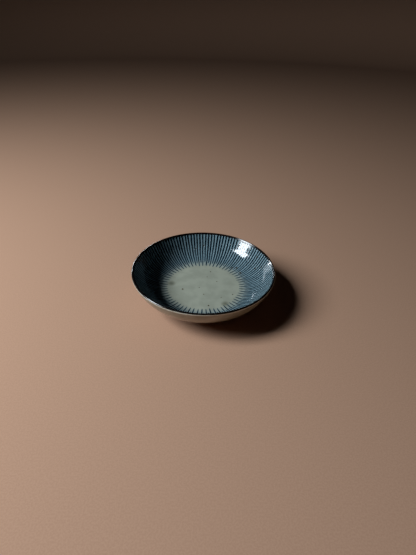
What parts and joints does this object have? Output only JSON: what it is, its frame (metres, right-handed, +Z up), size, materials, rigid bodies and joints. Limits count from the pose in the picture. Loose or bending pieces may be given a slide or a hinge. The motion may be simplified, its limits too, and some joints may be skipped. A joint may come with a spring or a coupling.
{
  "type": "soy sauce dish",
  "caption": "Small round stoneware dish on a foot ring, glazed, with painted radial stripes up its inside wall and a dark lip, for soy sauce or dips.",
  "frame": {"origin": "centre of the standing face of the foot ring, on the surface the dish stands on", "axes": "+Z up, along the dish's axis of turning; the first long stripe lies along +X"},
  "size_m": [0.1, 0.1, 0.0265],
  "materials": {
    "bowl_clay": "fired stoneware clay, thrown, hidden under the coats",
    "foot_clay": "bare fired stoneware clay, turned and wiped clean",
    "inside_glaze": "pale grey-green glossy glaze with brown iron specks",
    "outside_glaze": "pale warm grey glossy glaze",
    "iron_rim": "black-brown glossy iron glaze",
    "blue_stripes": "dark blue brushed stripes under gloss"
  },
  "bodies": {
    "root": {"bowl_body": "bowl_clay", "foot_ring": "foot_clay", "inner_glaze": "inside_glaze", "outer_glaze": "outside_glaze", "foot_glaze": "outside_glaze", "rim_line": "iron_rim", "long_stripes": "blue_stripes", "short_stripes": "blue_stripes"}
  },
  "joints": []
}
